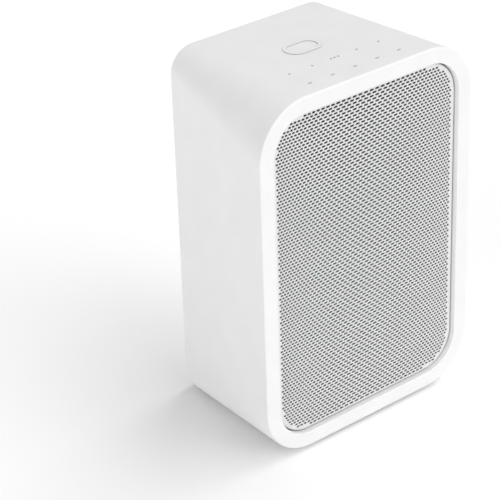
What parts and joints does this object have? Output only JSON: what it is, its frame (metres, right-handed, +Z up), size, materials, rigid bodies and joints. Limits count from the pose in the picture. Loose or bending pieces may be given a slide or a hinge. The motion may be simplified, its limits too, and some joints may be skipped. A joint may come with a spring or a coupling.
{
  "type": "smart speaker",
  "caption": "Compact one-piece white network loudspeaker, drawn in towards the back, with a recessed perforated front, touch marks on top and a pull-out rear power pack.",
  "frame": {"origin": "centre of the footprint, on the table under the feet", "axes": "+Z up, the perforated front faces -Y, the right side seen from the front is +X"},
  "size_m": [0.13, 0.084, 0.1843],
  "materials": {
    "housing_plastic": "soft satin white",
    "cover_plastic": "fine texture",
    "grille_steel": "light grey powder coat",
    "acoustic_cloth": "open weave",
    "baffle_plastic": "moulded black",
    "bracket_plastic": "moulded grey",
    "socket_plastic": "black",
    "lead_plastic": "red insulation",
    "seal_foam": "foam",
    "surround_rubber": "matte black",
    "foot_rubber": "matte grey",
    "cone_material": "pressed fibre",
    "spider_cloth": "resin cloth",
    "damping_felt": "felt",
    "basket_steel": "black",
    "plated_steel": "zinc plated",
    "screw_steel": "nickel plated",
    "ferrite": "sintered",
    "magnet_nickel": "nickel plated",
    "coil_copper": "enamelled copper wire",
    "dome_aluminium": "anodised",
    "radiator_aluminium": "dark anodised",
    "heatsink_aluminium": "extruded",
    "insert_brass": "turned",
    "contact_brass": "gold plated",
    "circuit_board": "solder mask"
  },
  "bodies": {
    "cabinet": {"housing": "housing_plastic", "emblem": "housing_plastic", "touch_marks": "housing_plastic", "touch_board": "circuit_board", "grille": "grille_steel", "grille_cloth": "acoustic_cloth", "baffle": "baffle_plastic", "baffle_seal": "seal_foam", "baffle_screws": "screw_steel", "woofer_frame": "basket_steel", "woofer_gasket": "seal_foam", "woofer_surround": "surround_rubber", "woofer_spider": "spider_cloth", "woofer_top_plate": "plated_steel", "woofer_magnet": "ferrite", "woofer_yoke": "plated_steel", "tweeter_faceplate": "baffle_plastic", "tweeter_surround": "surround_rubber", "tweeter_pole_plate": "plated_steel", "tweeter_magnet": "magnet_nickel", "tweeter_pot": "plated_steel", "driver_screws": "screw_steel", "rear_cover": "cover_plastic", "cover_seal": "seal_foam", "cover_screws": "screw_steel", "radiator_frame": "baffle_plastic", "radiator_surround": "surround_rubber", "radiator_guard": "cover_plastic", "mount_insert": "insert_brass", "socket_board": "circuit_board", "network_jack": "socket_plastic", "usb_jack": "plated_steel", "audio_jack": "socket_plastic", "board_frame": "bracket_plastic", "main_board": "circuit_board", "amplifier_board": "circuit_board", "heatsink": "heatsink_aluminium", "antennas": "circuit_board", "pack_socket": "socket_plastic", "pack_nut": "insert_brass", "power_leads": "lead_plastic", "feet": "foot_rubber", "damping_pad": "damping_felt"},
    "woofer_moving": {"woofer_cone": "cone_material", "woofer_dust_cap": "cone_material", "woofer_coil": "coil_copper"},
    "tweeter_moving": {"tweeter_dome": "dome_aluminium", "tweeter_coil": "coil_copper"},
    "radiator_moving": {"radiator_plate": "radiator_aluminium", "radiator_weight": "plated_steel"},
    "power_pack": {"pack_case": "cover_plastic", "pack_lid": "bracket_plastic", "pack_board": "circuit_board", "pack_transformer": "coil_copper", "pack_contacts": "contact_brass", "mains_inlet": "socket_plastic", "inlet_pins": "plated_steel"},
    "pack_screw": {"pack_screw": "screw_steel"}
  },
  "joints": [
    {"name": "woofer_stroke", "type": "slide", "parent": "cabinet", "child": "woofer_moving", "axis": [0, -1, 0], "range_m": [-0.003, 0.003], "stiffness_N_per_m": 900, "deforming": ["woofer_surround", "woofer_spider"]},
    {"name": "tweeter_stroke", "type": "slide", "parent": "cabinet", "child": "tweeter_moving", "axis": [0, -1, 0], "range_m": [-0.0003, 0.0003], "stiffness_N_per_m": 900, "deforming": ["tweeter_surround"]},
    {"name": "radiator_stroke", "type": "slide", "parent": "cabinet", "child": "radiator_moving", "axis": [0, 1, 0], "range_m": [-0.0025, 0.0025], "stiffness_N_per_m": 1500, "deforming": ["radiator_surround"]},
    {"name": "pack_out", "type": "slide", "parent": "cabinet", "child": "power_pack", "axis": [0, 1, 0], "range_m": [0, 0.045]},
    {"name": "pack_screw_turn", "type": "hinge", "parent": "power_pack", "child": "pack_screw", "pos_m": [0, 0.036, 0.021], "axis": [0, 1, 0], "continuous": true}
  ]
}
